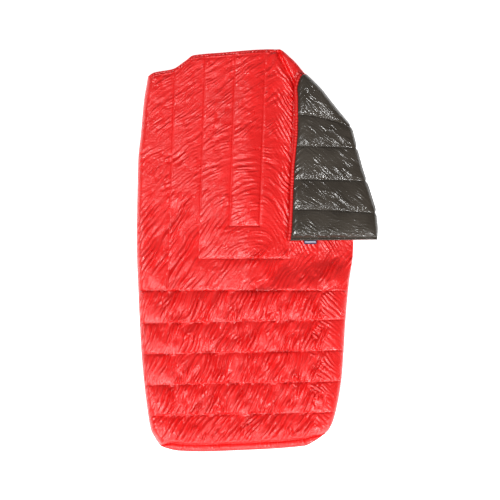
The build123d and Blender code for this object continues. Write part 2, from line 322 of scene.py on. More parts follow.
def front_folds(x, y, b):
    """Height of the front's folds, about -1 to 2."""
    bent_x, bent_y = wander(x, y, 3.0, 60)
    lower = smooth(CROSS_FIRST + 4, CROSS_FIRST - 4, y)
    chamber = np.floor(b)
    # the upper part
    u, v = arch_lines(bent_x, bent_y)
    arch = 0.55 * folds(u, v, 15.0, 1) + 0.35 * folds(u + 70.0, v, 8.5, 2) - 0.7 * folds(u, v + 40.0, 36.0, 3)
    arch = arch * (0.5 + 0.7 * smooth(-0.8, 0.8, blotches(x, y, 120.0, 34)))
    steep = np.exp(-(((bent_x + 420) / 260) ** 2)) * smooth(330, 120, y)
    u, v = lines_at(bent_x, bent_y, 57.0)
    diag_u, diag_v = lines_at(bent_x, bent_y, 37.0)
    diagonal = 0.7 * folds(diag_u, diag_v, 13.0, 16) + 0.5 * folds(diag_u, diag_v, 8.5, 17)
    diagonal = diagonal - 0.7 * folds(diag_u, diag_v, 40.0, 18)
    top = smooth(430, 600, y)
    arch = arch * (1 - top) + diagonal * top
    long_ones = 2.4 * folds(u, v, 27.0, 4, "long") + 0.9 * folds(u, v, 12.0, 5, "long")
    near_rim = smooth(60, 150, x)
    u, v = lines_at(bent_x, bent_y, -57.0)
    rim_ones = 1.3 * folds(u, v, 19.0, 6) + 0.6 * folds(u, v, 10.0, 7)
    under_ring = smooth(RING_END + 90, RING_END - 20, y) * (1 - steep)
    u, v = lines_at(bent_x + 300.0, bent_y, 55.0)
    ring_ones = 1.7 * folds(u, v, 21.0, 8) + 0.7 * folds(u, v, 10.0, 9)
    upper = arch * (1 - near_rim) + rim_ones * near_rim
    upper = upper * (1 - under_ring) + ring_ones * under_ring
    upper = upper * (1 - steep) + long_ones * steep
    leaning = smooth(-100, -260, x)
    upper = upper + 1.6 * creases(x, y, 110, 40.0, 170.0, 51) * leaning * smooth(180, 320, y)
    upper = upper + 2.0 * creases(x, y, 150, 57.0, 210.0, 52) * leaning * smooth(380, 240, y)
    # the foot chambers, each with its own folds
    shift_u, shift_v = 610.0 * chamber, 170.0 * chamber
    u, v = lines_at(bent_x, bent_y, np.where(chamber == 1, 54.0, 67.0))
    foot = 2.4 * folds(u + shift_u, v + shift_v, 24.0, 10, "long")
    foot = foot + 1.2 * folds(u + shift_u, v + shift_v, 12.0, 11, "long")
    u, v = lines_at(bent_x, bent_y, 84.0)
    where = smooth(0.1, 1.0, blotches(x, y, 150.0, 30))
    foot = foot + 1.0 * folds(u + shift_v, v + shift_u, 21.0, 19) * where
    u, v = lines_at(bent_x, bent_y, 50.0)
    where = smooth(0.3, 1.2, blotches(x, y, 130.0, 31))
    foot = foot + 0.9 * folds(u + shift_v, v + shift_u, 18.0, 20) * where
    u, v = lines_at(bent_x, bent_y, -42.0)
    side = 1.2 * folds(u + shift_u, v + shift_v, 21.0, 12) + 0.6 * folds(u + shift_u, v + shift_v, 12.0, 13)
    margin = smooth(270, 330, x + 38 * blotches(x, y, 90.0, 14))
    foot = foot * (1 - margin) + side * margin
    foot = 2.6 * np.tanh(foot / 2.6)
    return upper * (1 - lower) + foot * lower


# ---- cloth: inextensible fabric on a grid, pinned at its seams, pushed out by its filling ----
def edge_groups(n, m):
    """Pairs of grid slices whose points are joined by a thread; no point is in one group twice."""
    whole_b, low_b, high_b = slice(None), slice(0, m - 1), slice(1, m)
    groups = []
    for start in (0, 1):
        first, second = slice(start, n - 1, 2), slice(start + 1, n, 2)
        groups.append(((first, whole_b), (second, whole_b)))
        groups.append(((first, low_b), (second, high_b)))
        groups.append(((first, high_b), (second, low_b)))
    for start in (0, 1):
        groups.append(((slice(None), slice(start, m - 1, 2)), (slice(None), slice(start + 1, m, 2))))
    return groups


def relax(base, rough, free, slack, steps, push=0.02, fair=0.002, most=9.0):
    """Settle fabric that has the length its creases need, and slack more, on its filling.

    base is the smooth surface (n, m, 3), rough the creased one, free is 0 at the stitches.
    """
    points = rough.astype(np.float32).copy()
    start = base.astype(np.float32)
    threads = []
    for first, second in edge_groups(*base.shape[:2]):
        length = np.linalg.norm(rough[second] - rough[first], axis=-1)
        rest = (length * (1 + slack[first])).astype(np.float32)
        share = free[first] + free[second] + 1e-6
        first_share, second_share = (free[first] / share)[..., None], (free[second] / share)[..., None]
        threads.append((first, second, rest, first_share, second_share))
    mobile = free[..., None].astype(np.float32)
    for _ in range(steps):
        for first, second, rest, w0, w1 in threads:
            run = points[second] - points[first]
            length = np.sqrt(np.einsum("ijk,ijk->ij", run, run)) + 1e-6
            run *= (0.9 * (length - rest) / length)[..., None].astype(np.float32)
            points[first] += run * w0
            points[second] -= run * w1
        points -= fair * mobile * laplacian(laplacian(points))
        points += push * mobile * up_normal(points)
        move = points - start
        size = np.sqrt(np.einsum("ijk,ijk->ij", move, move))[..., None] + 1e-6
        points = start + move * np.minimum(1, most / size)
    return points.astype(float)


def laplacian(p):
    out = np.zeros_like(p)
    out[1:-1] += p[2:] + p[:-2] - 2 * p[1:-1]
    out[:, 1:-1] += p[:, 2:] + p[:, :-2] - 2 * p[:, 1:-1]
    return out


def up_normal(p):
    a = np.zeros_like(p)
    b = np.zeros_like(p)
    a[1:-1] = p[2:] - p[:-2]
    b[:, 1:-1] = p[:, 2:] - p[:, :-2]
    n = np.cross(a, b)
    return n / (np.sqrt(np.einsum("ijk,ijk->ij", n, n))[..., None] + 1e-6)


FOOT_PLEAT = 228.0
SHOULDER = ((98.0, 962.0), (185.0, 785.0))  # a crease where the fold pulls the neck corner over


def shoulder(x, y):
    """How far right of the shoulder crease, and how much it shows here."""
    (x0, y0), (x1, y1) = SHOULDER
    length = np.hypot(x1 - x0, y1 - y0)
    across = (-(x - x0) * (y1 - y0) + (y - y0) * (x1 - x0)) / length
    return across, smooth(y1 - 30.0, y1 + 25.0, y)


def puff(distance, reach):
    """Height share of a chamber, from its seam up to its crown."""
    t = np.clip(distance / reach, 0, 1)
    return (1 - (1 - t) ** 2) ** 0.62


def gathers(along, seam, seed):
    """Short tight puckers close to the seams."""
    wave = sample(field("fold", 13.0, seed), seam, along)
    return wave * smooth(0, 4, seam) * np.exp(-seam / 15.0)


def build_front():
    x, y, a, b = front_grid(CELL)
    under = under_front(x, y)
    seam = seam_distance(x, y)
    lower = smooth(CROSS_FIRST + 20, CROSS_FIRST - 20, y)
    centre = np.exp(-(((x + 60) / 210) ** 2 + ((y - 230) / 260) ** 2))
    swell = 4.0 + 7.0 * centre + 6.0 * lower + 3.0 * smooth(60, -60, y) * (1 - lower)
    crown = under + 22.0 + 6.0 * centre + swell * puff(seam, 70.0)
    left = x - through(LEFT_EDGE, y)
    right = right_edge(y) - x
    foot = y - through(FOOT_EDGE, x) - foot_hem_width(x)
    neck = through(NECK_EDGE, x) - y - HEM
    tube = smooth(90, -60, y)
    roll = round_off(left, 42.0) * (1 - tube + tube * round_off(right, 110.0))
    roll = roll * round_off(foot + 4.0, 55.0)
    middle = 21.0
    z = middle + (crown - middle) * roll
    hem = np.clip(b, 0, 1)
    z = np.where(b < 1, middle - 6.0 + 13.0 * np.sqrt(np.clip(1 - (2 * hem - 1) ** 2, 0, 1)), z)
    hemmed = smooth(-540, -480, x) * smooth(130, 95, x)
    dip = (z - under - 15.0) * (1 - round_off(neck, 26.0)) * hemmed
    dip = dip + (z - under - 8.0) * (1 - round_off(neck + HEM, 34.0)) * (1 - hemmed) * smooth(60, 90, x)
    z = z - np.where((neck > 0) | (x > 60), dip, 0)
    band = np.clip(b - 9, 0, 1)
    neck_top = under + 12.0 + 6.0 * np.sqrt(np.clip(1 - (2 * band - 1) ** 2, 0, 1))
    z = np.where(b > 9, neck_top * hemmed + z * (1 - hemmed), z)
    across, here = shoulder(x, y)
    z = z + here * (12.0 * smooth(-1, 7, across) - 14.0 * np.exp(-(((across + 5.0) / 10.0) ** 2)))
    base = np.stack([x, y, z], -1)
    patch = np.clip(1.0 + 0.28 * blotches(x, y, 150.0, 900), 0.4, 1.6)
    body = smooth(0, 9, seam) * (b > 1) * (b < 9) * smooth(0, 14, np.minimum(foot, neck))
    margin = smooth(0, 90, left) * (1 - tube + tube * smooth(0, 30, right))
    margin = margin * (1 - 0.75 * here * smooth(-40, 0, across))
    inner = smooth(30, 150, left) * smooth(30, 150, right)
    strength = 2.9 * (0.4 + 0.6 * margin) * (1 - lower) + (1.5 + 2.9 * inner) * lower
    rough_z = strength * front_folds(x, y, b) * patch * body
    rough_z = rough_z + (0.25 + 0.9 * lower) * gathers(x + 0.3 * y, seam, 21)
    rough_z = rough_z - 1.8 * np.exp(-((seam / 3.0) ** 2)) - 4.0 * np.exp(-((foot / 5.0) ** 2))
    ends = (b <= 1) | ((b >= 9) & (x < 90))
    rough_z = rough_z + 0.9 * ends * sample(field("fold", 15.0, 22), y, x)
    rough_z = rough_z - 3.5 * (b <= 1) * np.exp(-(((x - FOOT_PLEAT) / 5.0) ** 2))
    rough = base + np.stack([0 * x, 0 * x, rough_z], -1)
    free = (seam > 1.5).astype(np.float32)
    free[[0, -1], :] = 0
    free[:, [0, -1]] = 0
    rough = relax(base, rough, free, 0.002 + 0.004 * lower, 25)
    return rough[..., 0], rough[..., 1], rough[..., 2], a, b


def round_off(distance, radius):
    t = np.clip(distance / radius, 0, 1)
    return (1 - (1 - t) ** 2.4) ** 0.55


def grid_faces(n, m):
    i, j = np.meshgrid(np.arange(n - 1), np.arange(m - 1), indexing="ij")
    first = (i * m + j).ravel()
    return np.stack([first, first + m, first + m + 1, first + 1], 1)


def mesh_object(name, points, faces, material):
    mesh = bpy.data.meshes.new(name)
    mesh.from_pydata([tuple(p) for p in points * MM], [], [tuple(f) for f in faces.tolist()])
    mesh.polygons.foreach_set("use_smooth", [True] * len(mesh.polygons))
    mesh.materials.append(material)
    mesh.update()
    obj = bpy.data.objects.new(name, mesh)
    bpy.context.scene.collection.objects.link(obj)
    return obj


# ---- materials ----
WEAVE = 262.0  # bands at this scale are 1.2 mm apart


def bump(tree, height, strength, distance, below=None):
    node = tree.nodes.new("ShaderNodeBump")
    node.inputs["Strength"].default_value = strength
    node.inputs["Distance"].default_value = distance
    tree.links.new(height, node.inputs["Height"])
    if below is not None:
        tree.links.new(below.outputs["Normal"], node.inputs["Normal"])
    return node


def noise_node(tree, place, scale, detail, distortion=0.0):
    node = tree.nodes.new("ShaderNodeTexNoise")
    node.inputs["Scale"].default_value = scale
    node.inputs["Detail"].default_value = detail
    node.inputs["Distortion"].default_value = distortion
    tree.links.new(place.outputs["Object"], node.inputs["Vector"])
    return node


def ramp_node(tree, source, low, high, start, end):
    node = tree.nodes.new("ShaderNodeValToRGB")
    node.color_ramp.elements[0].position = start
    node.color_ramp.elements[0].color = (*low, 1)
    node.color_ramp.elements[1].position = end
    node.color_ramp.elements[1].color = (*high, 1)
    tree.links.new(source, node.inputs["Fac"])
    return node


def nylon(name, colour, dark, roughness, crinkle=0.35, weave=WEAVE, gloss_level=0.42):
    """Thin woven nylon: slow colour change, gloss that varies, fine crinkles and a weave."""
    material = bpy.data.materials.new(name)
    material.use_nodes = True
    tree = material.node_tree
    shader = tree.nodes["Principled BSDF"]
    place = tree.nodes.new("ShaderNodeTexCoord")
    slow = noise_node(tree, place, 7.0, 5.0)
    tone = ramp_node(tree, slow.outputs["Fac"], dark, colour, 0.35, 0.65)
    tree.links.new(tone.outputs["Color"], shader.inputs["Base Color"])
    patchy = noise_node(tree, place, 22.0, 3.0)
    low, high = roughness - 0.05, roughness + 0.07
    gloss = ramp_node(tree, patchy.outputs["Fac"], (low,) * 3, (high,) * 3, 0.3, 0.7)
    tree.links.new(gloss.outputs["Color"], shader.inputs["Roughness"])
    shader.inputs["Specular IOR Level"].default_value = gloss_level
    creases = noise_node(tree, place, 95.0, 4.0, 1.2)
    below = bump(tree, creases.outputs["Fac"], crinkle, 0.004)
    turned = tree.nodes.new("ShaderNodeMapping")
    turned.inputs["Rotation"].default_value = (0, 0, -0.85)
    turned.inputs["Scale"].default_value = (0.22, 1.0, 1.0)
    tree.links.new(place.outputs["Object"], turned.inputs["Vector"])
    streaks = noise_node(tree, place, 150.0, 3.0, 0.6)
    tree.links.new(turned.outputs["Vector"], streaks.inputs["Vector"])
    below = bump(tree, streaks.outputs["Fac"], crinkle, 0.004, below)
    for direction in ("X", "Y"):
        bands = tree.nodes.new("ShaderNodeTexWave")
        bands.bands_direction = direction
        bands.inputs["Scale"].default_value = weave
        tree.links.new(place.outputs["Object"], bands.inputs["Vector"])
        below = bump(tree, bands.outputs["Fac"], 0.12, 0.0003, below)
    tree.links.new(below.outputs["Normal"], shader.inputs["Normal"])
    return material


RED = nylon("red_nylon", (0.83, 0.009, 0.008), (0.75, 0.005, 0.004), 0.31, gloss_level=0.66)
RIM_RED = nylon("red_hem_nylon", (0.74, 0.012, 0.011), (0.66, 0.008, 0.007), 0.45, 0.25)
CHARCOAL = nylon("charcoal_nylon", (0.056, 0.045, 0.034), (0.034, 0.026, 0.018), 0.2, 0.22, gloss_level=0.62)
NAVY = nylon("label_navy", (0.02, 0.022, 0.07), (0.014, 0.015, 0.05), 0.6, 0.1, 520.0)
PALE = nylon("label_pale", (0.33, 0.33, 0.42), (0.25, 0.25, 0.34), 0.6, 0.1, 520.0)
RED_THREAD = nylon("red_thread", (0.55, 0.01, 0.01), (0.45, 0.006, 0.006), 0.5, 0.1, 2600.0)
DARK_THREAD = nylon("dark_thread", (0.03, 0.027, 0.024), (0.02, 0.017, 0.015), 0.5, 0.1, 2600.0)


def tangent_inward(x, y):
    """Unit vectors pointing into a closed outline that runs anticlockwise."""
    tx = np.roll(x, -2) - np.roll(x, 2)
    ty = np.roll(y, -2) - np.roll(y, 2)
    length = np.hypot(tx, ty) + 1e-9
    nx, ny = -ty / length, tx / length
    for _ in range(3):
        nx = (np.roll(nx, 1) + nx + np.roll(nx, -1)) / 3
        ny = (np.roll(ny, 1) + ny + np.roll(ny, -1)) / 3
    return nx, ny


def border(n, m):
    """Grid indices once round the outside, anticlockwise."""
    i = [(k, 0) for k in range(n)] + [(n - 1, k) for k in range(1, m)]
    i += [(k, m - 1) for k in range(n - 2, -1, -1)] + [(0, k) for k in range(m - 2, 0, -1)]
    return np.array(i)


SKIRT_STEPS = 8


def with_skirt(x, y, z, turn_in, end_z):
    """Grid points and faces, with the edge rolled under: turn_in and end_z are arrays along the border."""
    n, m = x.shape
    loop = border(n, m)
    first = loop[:, 0] * m + loop[:, 1]
    bx, by, bz = (v[loop[:, 0], loop[:, 1]] for v in (x, y, z))
    nx, ny = tangent_inward(bx, by)
    points = [np.stack([x, y, z], -1).reshape(-1, 3)]
    faces = [grid_faces(n, m)]
    last = first
    for step in range(1, SKIRT_STEPS + 1):
        turn = step / SKIRT_STEPS * np.pi / 2
        inward = turn_in * (1 - np.cos(turn))
        height = bz + (end_z - bz) * np.sin(turn)
        points.append(np.stack([bx + nx * inward, by + ny * inward, height], -1))
        ring = n * m + (step - 1) * len(loop) + np.arange(len(loop))
        faces.append(np.stack([last, ring, np.roll(ring, -1), np.roll(last, -1)], 1))
        last = ring
    return np.concatenate(points), np.concatenate(faces)


def eased(values, reach=12):
    """The values, smoothed along a closed loop."""
    for _ in range(reach):
        values = (np.roll(values, 1) + 2 * values + np.roll(values, -1)) / 4
    return values


def front_surface():
    """The front with its edges rolled under: points, faces, and each point's place between cross seams."""
    x, y, z, a, b = build_front()
    loop = border(*x.shape)
    bx, by = (v[loop[:, 0], loop[:, 1]] for v in (x, y))
    neck = by > through(NECK_EDGE, bx) - 3.0
    tube = (bx < -300) | (by < 45)
    turn_in = np.where(neck, 9.0, np.where(tube, 34.0, 14.0))
    end_z = np.where(neck, under_front(bx, by) + 4.0, 2.0)
    points, faces = with_skirt(x, y, z, eased(turn_in), eased(end_z))
    row = np.concatenate([b.ravel()] + [b[loop[:, 0], loop[:, 1]]] * SKIRT_STEPS)
    return points, faces, row, np.stack([x, y, z], -1), a, b


def part_of(points, faces, keep):
    """The faces that are kept, with only the points they use."""
    used, index = np.unique(faces[keep], return_inverse=True)
    return points[used], index.reshape(-1, faces.shape[1])


# ---- the flap, lining up ----
GREY_EDGE = [(46, 156), (98, 164), (242, 170), (386, 176), (482, 185), (578, 193), (722, 194), (770, 191),
             (823, 203), (842, 216)]
FLAP_HEAD = 842.0
FLAP_FOOT = 46.0
RIM_WIDTH = 18.0
FLAP_SEAMS = [(650.0, 592.0), (499.0, 489.0), (340.0, 330.0), (196.0, 178.0)]
FLAP_FOOT_TILT = 0.011
FLAP_HEM = 13.0


def grey_edge(y):
    return through(GREY_EDGE, y)


def flap_grid(cell):
    s = np.linspace(0, 1, round(420 / cell))[:, None]
    t = np.linspace(0, 1, round((FLAP_HEAD - FLAP_FOOT) / cell))[None, :]
    level = FLAP_FOOT + (FLAP_HEAD - FLAP_FOOT) * t
    left = grey_edge(level)
    nick = sum(6.0 * np.exp(-(((level - low) / 8.0) ** 2)) for _, low in FLAP_SEAMS)
    right = fold_edge(level) + 2.0 - nick
    x = left + (right - left) * s
    y = level + (x - left) * FLAP_FOOT_TILT * (1 - t) + 0 * s
    return x, y, s + 0 * t, t + 0 * s


def flap_seam_distance(x, y, s):
    near = np.full_like(x, 1e3)
    for high, low in FLAP_SEAMS:
        line = high + (low - high) * s ** 2
        near = np.minimum(near, np.abs(y - line))
    return near


FLAP_CELL = 3.0


def flap_surface():
    """The lining side of the flap, creased and settled on its filling."""
    x, y, s, _ = flap_grid(FLAP_CELL)
    seam = flap_seam_distance(x, y, s)
    left = x - grey_edge(y)
    right = fold_edge(y) - x
    foot = y - FLAP_FOOT - left * FLAP_FOOT_TILT
    z = FLAP_UNDER + 20.0 + 10.0 * puff(seam, 66.0)
    z = FLAP_UNDER + 12 + (z - FLAP_UNDER - 12) * round_off(left + 2, 34.0)
    hem = FLAP_UNDER + 6.0 + 5.0 * np.sqrt(np.clip(1 - (2 * foot / FLAP_HEM - 1) ** 2, 0, 1))
    z = hem + (z - hem) * round_off(foot - FLAP_HEM, 45.0) * (foot > FLAP_HEM)
    z = LOFT + 2 + (z - LOFT - 2) * round_off(right, 55.0)
    base = np.stack([x, y, z], -1)
    body = smooth(0, 12, seam) * smooth(0, 26, right) * smooth(FLAP_HEM, FLAP_HEM + 14, foot)
    near = smooth(48, 22, left)
    patch = np.clip(1.0 + 0.5 * blotches(x, y, 110.0, 950), 0.25, 2.0)
    chamber = sum((y < high).astype(float) for high, _ in FLAP_SEAMS)
    bent_x, bent_y = wander(x, y, 0.8, 80)
    lean = np.array([-48.0, -30.0, -40.0, -38.0, -8.0])[chamber.astype(int)]
    u, v = lines_at(bent_x + 410.0 * chamber, bent_y, lean)
    away = 0.25 * folds(u, v, 13.0, 11) + 0.2 * folds(u, v, 8.0, 13) - 0.25 * folds(u, v, 34.0, 12)
    away = away + 1.5 * creases(x, y, 90, -40.0, 130.0, 53) + 1.2 * creases(x, y, 40, -12.0, 90.0, 54)
    u, v = lines_at(bent_x, bent_y, 50.0)
    close = 0.25 * folds(u, v, 9.0, 14) - (0.3 + 0.6 * (chamber == 2)) * folds(u, v, 20.0, 15)
    rough_z = 2.3 * patch * body * (away * (1 - near) * (1 - 0.45 * (chamber == 4)) + close * near)
    puckered = 0.3 + 0.9 * smooth(-0.3, 0.9, blotches(x, y, 75.0, 35))
    rough_z = rough_z + puckered * gathers(x, seam, 23) * smooth(0, 20, right)
    wave = np.exp(-(((foot - 26.0) / 11.0) ** 2)) * smooth(20, 60, left)
    rough_z = rough_z + 2.0 * wave * sample(field("fold", 17.0, 24), x, y + 5.0 * blotches(x, y, 60.0, 25))
    rough_z = rough_z - 1.0 * np.exp(-((seam / 2.5) ** 2)) - 1.5 * np.exp(-(((foot - FLAP_HEM) / 3.0) ** 2))
    rough = base + np.stack([0 * x, 0 * x, rough_z], -1)
    free = ((seam > 2.0) & (foot > FLAP_HEM)).astype(np.float32)
    free[[0, -1], :] = 0
    free[:, [0, -1]] = 0
    rough = relax(base, rough, free, 0.004 + 0 * x, 20, most=7.0)
    return rough[..., 0], rough[..., 1], rough[..., 2], seam


def flap_cover(surface):
    x, y, z, _ = surface
    loop = border(*x.shape)
    bx, by = (v[loop[:, 0], loop[:, 1]] for v in (x, y))
    fold = bx > fold_edge(by) - 12.0
    turn_in = np.where(fold, 34.0, 6.0)
    end_z = np.where(fold, 2.0, FLAP_UNDER + 1.0)
    points, faces = with_skirt(x, y, z, eased(turn_in, 4), eased(end_z, 4))
    return mesh_object("flap_lining_cover", points, faces, CHARCOAL)


def flap_underside():
    x, y, s, _ = flap_grid(7.0)
    left = grey_edge(y)
    x = left + (x - left) * 0.95
    seam = flap_seam_distance(x, y, s)
    u, v = lines_at(x, y, -40.0)
    inside = smooth(0, 45, x - left) * smooth(0, 45, fold_edge(y) - x)
    z = FLAP_UNDER + (9.0 * (1 - puff(seam, 66.0)) + 0.9 * folds(u, v, 28.0, 18)) * inside
    points = np.stack([x, y, np.maximum(z, FLAP_UNDER)], -1).reshape(-1, 3)
    return mesh_object("flap_shell_cover", points, grid_faces(*x.shape)[:, ::-1], RED)


def rope(name, line, width, height, material, sides=10):
    """An oval tube along a line of points; width and height may change along it."""
    line = np.array(line, float)
    along = np.gradient(line, axis=0)
    along /= np.linalg.norm(along, axis=1)[:, None]
    across = np.stack([along[:, 1], -along[:, 0], 0 * along[:, 0]], 1)
    up = np.array([0, 0, 1.0])
    width = np.broadcast_to(width, len(line))
    height = np.broadcast_to(height, len(line))
    turn = np.linspace(0, 2 * np.pi, sides, endpoint=False)
    rings = line[:, None] + across[:, None] * (np.cos(turn)[None, :, None] * width[:, None, None] / 2)
    rings = rings + up * (np.sin(turn)[None, :, None] * height[:, None, None] / 2)
    n = len(line)
    i, j = np.meshgrid(np.arange(n - 1), np.arange(sides), indexing="ij")
    a, b = i * sides + j, i * sides + (j + 1) % sides
    faces = np.stack([a, b, b + sides, a + sides], -1).reshape(-1, 4)
    caps = [np.arange(sides)[::-1].tolist(), ((n - 1) * sides + np.arange(sides)).tolist()]
    mesh = bpy.data.meshes.new(name)
    mesh.from_pydata([tuple(p) for p in rings.reshape(-1, 3) * MM], [], faces.tolist() + caps)
    mesh.polygons.foreach_set("use_smooth", [True] * len(mesh.polygons))
    mesh.materials.append(material)
    obj = bpy.data.objects.new(name, mesh)
    bpy.context.scene.collection.objects.link(obj)
    return obj


def flap_rim():
    level = np.linspace(FLAP_FOOT - 2, FLAP_HEAD + 1, 420)
    gather = np.sin(level / 2.3 + 1.5 * np.sin(level / 23.0)) * (0.6 + 0.4 * np.sin(level / 41.0))
    x = grey_edge(level) - RIM_WIDTH / 2 + 1.5
    line = np.stack([x, level, FLAP_UNDER + 9.0 + 0 * level], -1)
    return rope("flap_rim", line, RIM_WIDTH + 1.6 * gather, 18.0 + 1.8 * gather, RIM_RED, 14)


LABEL_LEFT, LABEL_WIDTH, LABEL_DROP, LABEL_BORDER = 223.0, 60.0, 18.0, 3.6


def label_piece(name, inset, lift, material):
    """A small woven tab that lies down from the flap's foot hem, or the strip woven into it."""
    u = np.linspace(0, 1, 25)[:, None]
    v = np.linspace(0, 1, 11)[None, :]
    x = LABEL_LEFT + inset + (LABEL_WIDTH - 2 * inset) * u + 0 * v
    y = FLAP_FOOT + 2.0 - inset - (LABEL_DROP - 2 * inset) * (1 - v) + 0.6 * u
    z = FLAP_UNDER + 9.0 - 5.0 * (1 - v) ** 1.5 + 1.2 * np.sin(u * 7 + v) + lift
    loop = border(*x.shape)
    end_z = z[loop[:, 0], loop[:, 1]] - 0.9
    points, faces = with_skirt(x, y, z, np.full(len(loop), 0.4), end_z)
    return mesh_object(name, points, faces, material)


# ---- stitching ----
STITCH, STITCH_GAP, THREAD = 4.2, 1.8, 0.45


def resample(line, step):
    """Points every step along a line of points."""
    line = np.asarray(line, float)
    along = np.concatenate([[0], np.cumsum(np.linalg.norm(np.diff(line, axis=0), axis=1))])
    at = np.arange(0, along[-1], step)
    return np.stack([np.interp(at, along, line[:, k]) for k in range(3)], 1)


def stitches(name, lines, material, lift):
    """Short stitches of thread along each line, a little above it."""
    points, faces, count = [], [], 0
    turn = np.arange(6) * np.pi / 3
    shape = np.array([0.35, 1.0, 1.0, 0.35])
    share = np.array([0.0, 0.12, 0.88, 1.0])
    i, j = np.meshgrid(np.arange(3), np.arange(6), indexing="ij")
    quad = np.stack([i * 6 + j, i * 6 + (j + 1) % 6, (i + 1) * 6 + (j + 1) % 6, (i + 1) * 6 + j], -1)
    quad = quad.reshape(-1, 4)
    for line in lines:
        place = resample(line, STITCH + STITCH_GAP)
        if len(place) < 3:
            continue
        start, run = place[:-1], np.diff(place, axis=0)
        run = run * STITCH / (STITCH + STITCH_GAP)
        side = np.stack([-run[:, 1], run[:, 0], 0 * run[:, 0]], 1)
        side /= np.linalg.norm(side, axis=1)[:, None] + 1e-9
        up = np.array([0, 0, 1.0])
        ring = start[:, None] + run[:, None] * share[None, :, None]
        around = np.cos(turn)[None, None, :, None] * side[:, None, None]
        around = around + np.sin(turn)[None, None, :, None] * up
        body = ring[:, :, None] + around * (THREAD * shape)[None, :, None, None]
        body[..., 2] += lift
        points.append(body.reshape(-1, 3))
        faces.append((quad[None] + (count + 24 * np.arange(len(start)))[:, None, None]).reshape(-1, 4))
        count += 24 * len(start)
    return mesh_object(name, np.concatenate(points), np.concatenate(faces), material)


def front_seam_paths(grid, a, b):
    """The front's seams as lines of surface points: they follow its grid."""
    column, row = a[:, 0], b[0]
    ends = {1: 6, 2: 7, 3: 8, 4: 8, 5: 7, 6: 6}
    paths = []
    for k, end in ends.items():
        i = int(np.argmin(np.abs(column - k)))
        paths.append(grid[i, (row >= end) & (row <= 9)])
    spans = [(8, 3, 4), (7, 2, 5)] + [(level, 0, 7) for level in (6, 5, 4, 3, 2)] + [(1, 0, 6.6)]
    for level, first, last in spans:
        j = int(np.argmin(np.abs(row - level)))
        keep = (column >= first + 0.03) & (column <= last - 0.03)
        paths.append(grid[keep, j])
    return paths


# ---- what lies under the front ----
def front_lining_cover():
    """The lining of the front, seen from below and through the openings."""
    x, y, a, b = front_grid(9.0)
    inner = np.ix_((a[:, 0] > 0.3) & (a[:, 0] < 6.6), (b[0] > 1.8) & (b[0] < 8.99))
    x, y = x[inner], y[inner]
    u, v = lines_at(x, y, 60.0)
    low = 18.0 + 22.0 * smooth(0, 90, y - through(FOOT_EDGE, x) - 50.0)
    z = np.minimum(under_front(x, y) + 1.2, low) - 0.5 * folds(u, v, 34.0, 31)
    points = np.stack([x, y, z], -1).reshape(-1, 3)
    return mesh_object("front_lining_cover", points, grid_faces(*x.shape)[:, ::-1], CHARCOAL)


WING_EDGE = SLIT_X - 30.0  # the left wing ends here at the head
BACK_PITCH = 150.0


def back_right(y):
    """The right end of the back's wing: its hemmed edge, from the slit's end up to the head."""
    wing = np.interp(y, [SLIT_END[1], HALF_LENGTH], [SLIT_END[0], WING_EDGE]) - HEM
    return wing


def back_grid(cell, low, high, right):
    """A grid over the back between two levels."""
    v = np.linspace(0, 1, max(3, round((high - low) / cell)))[None, :]
    u = np.linspace(0, 1, round(900 / cell))[:, None]
    y = low + (high - low) * v + 0 * u
    left = through(LEFT_EDGE, y) + 26.0
    x = left + (right(y) - left) * u
    foot = through(FOOT_EDGE, x) + 24.0
    neck = through(NECK_EDGE, x) - HEM - 6.0
    return x, np.clip(y, foot, neck)


def slit_level(x):
    (x0, y0), (x1, y1) = SLIT_END, SLIT_SIDE
    return np.interp(x, [x0, x1], [y0, y1]) - HEM


def foot_right(y):
    return through(RIGHT_EDGE, y) - 26.0


def back_cushion(name, low, high, right, cut, seed):
    """Part of the back: flat chambers on the floor, with the lining on top."""
    x, y = back_grid(6.0, low, high, right)
    if cut:
        y = np.minimum(y, slit_level(x))
    shift = np.abs((y - cross_y(1, x)) / BACK_PITCH - np.round((y - cross_y(1, x)) / BACK_PITCH)) * BACK_PITCH
    fold = folds(*lines_at(x, y, 66.0), 34.0, seed)
    floor = 0.6 + 5.0 * (1 - puff(shift, 30.0)) + 0.4 * (fold - fold.min())
    n, m = x.shape
    loop = border(n, m)
    at_foot = (y - through(FOOT_EDGE, x))[loop[:, 0], loop[:, 1]] < 60.0
    end = eased(np.where(at_foot, 13.0, LOFT - 2.0), 4)
    points, faces = with_skirt(x, y, floor + 7.0 * edge_lift(n, m), np.full(len(loop), -7.0), end)
    return mesh_object(name, points, faces[:, ::-1], RED)


def edge_lift(n, m):
    """1 at the border of a grid, falling to 0 a few cells in."""
    i = np.minimum(np.arange(n), np.arange(n)[::-1])[:, None]
    j = np.minimum(np.arange(m), np.arange(m)[::-1])[None, :]
    return np.clip(1 - np.minimum(i, j) / 3.0, 0, 1) ** 2


def back_lining_cover():
    x, y = back_grid(12.0, -900.0, 930.0, back_lining_right)
    y = np.maximum(y, through(FOOT_EDGE, x) + 85.0)
    z = LOFT - 2.0 + 0.8 * folds(*lines_at(x, y, 66.0), 40.0, 33)
    points = np.stack([x, y, z], -1).reshape(-1, 3)
    return mesh_object("back_lining_cover", points, grid_faces(*x.shape), CHARCOAL)


def back_lining_right(y):
    tube = through(RIGHT_EDGE, y) - 30.0
    return np.where(y < SLIT_END[1] - 20.0, tube, back_right(y))


def hem_rope(name, line, width, height, material):
    """A gathered tube hem along a line of corner points."""
    line = resample(line, 3.0)
    along = np.arange(len(line)) * 3.0
    gather = np.sin(along / 2.6 + 1.3 * np.sin(along / 19.0))
    return rope(name, line, width + 0.7 * gather, height + 0.7 * gather, material, 12)


def across_fold(obj):
    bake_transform(obj)


def nodes_of(*starts):
    return [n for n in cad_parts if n.startswith(starts)]


